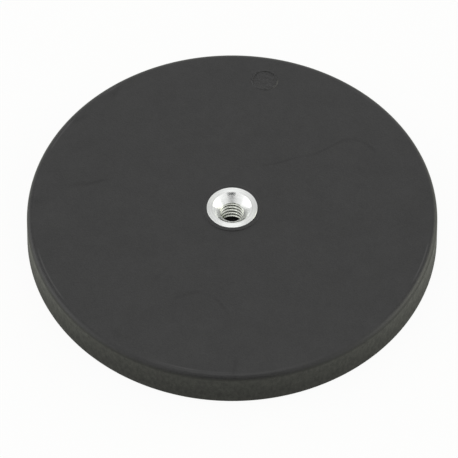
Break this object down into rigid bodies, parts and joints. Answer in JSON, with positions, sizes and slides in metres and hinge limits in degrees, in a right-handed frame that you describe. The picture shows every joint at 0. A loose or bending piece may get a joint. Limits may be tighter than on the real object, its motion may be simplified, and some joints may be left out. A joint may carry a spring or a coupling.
{
  "type": "pot magnet",
  "caption": "Flat round pot magnet in a moulded rubber jacket, with a countersunk threaded steel bush in the middle of its back.",
  "frame": {"origin": "centre of the flat magnetic face, on the axis of the thread", "axes": "+Z along the thread's axis, from the magnetic face out of the back; +Y points towards the gate recess in the back, which lies 78.7 degrees round from +X"},
  "size_m": [0.088, 0.088, 0.0088],
  "materials": {
    "jacket_rubber": "satin moulded black rubber",
    "bush_zinc": "turned steel, bright zinc plated",
    "plate_steel": "punched mild steel, zinc plated",
    "magnet_nickel": "nickel plated sintered neodymium"
  },
  "bodies": {
    "root": {"rubber_jacket": "jacket_rubber", "threaded_bush": "bush_zinc", "steel_plate": "plate_steel", "magnet_01": "magnet_nickel", "magnet_02": "magnet_nickel", "magnet_03": "magnet_nickel", "magnet_04": "magnet_nickel", "magnet_05": "magnet_nickel", "magnet_06": "magnet_nickel", "magnet_07": "magnet_nickel", "magnet_08": "magnet_nickel", "magnet_09": "magnet_nickel", "magnet_10": "magnet_nickel", "magnet_11": "magnet_nickel", "magnet_12": "magnet_nickel", "magnet_13": "magnet_nickel", "magnet_14": "magnet_nickel", "magnet_15": "magnet_nickel", "magnet_16": "magnet_nickel", "magnet_17": "magnet_nickel", "magnet_18": "magnet_nickel"}
  },
  "joints": []
}
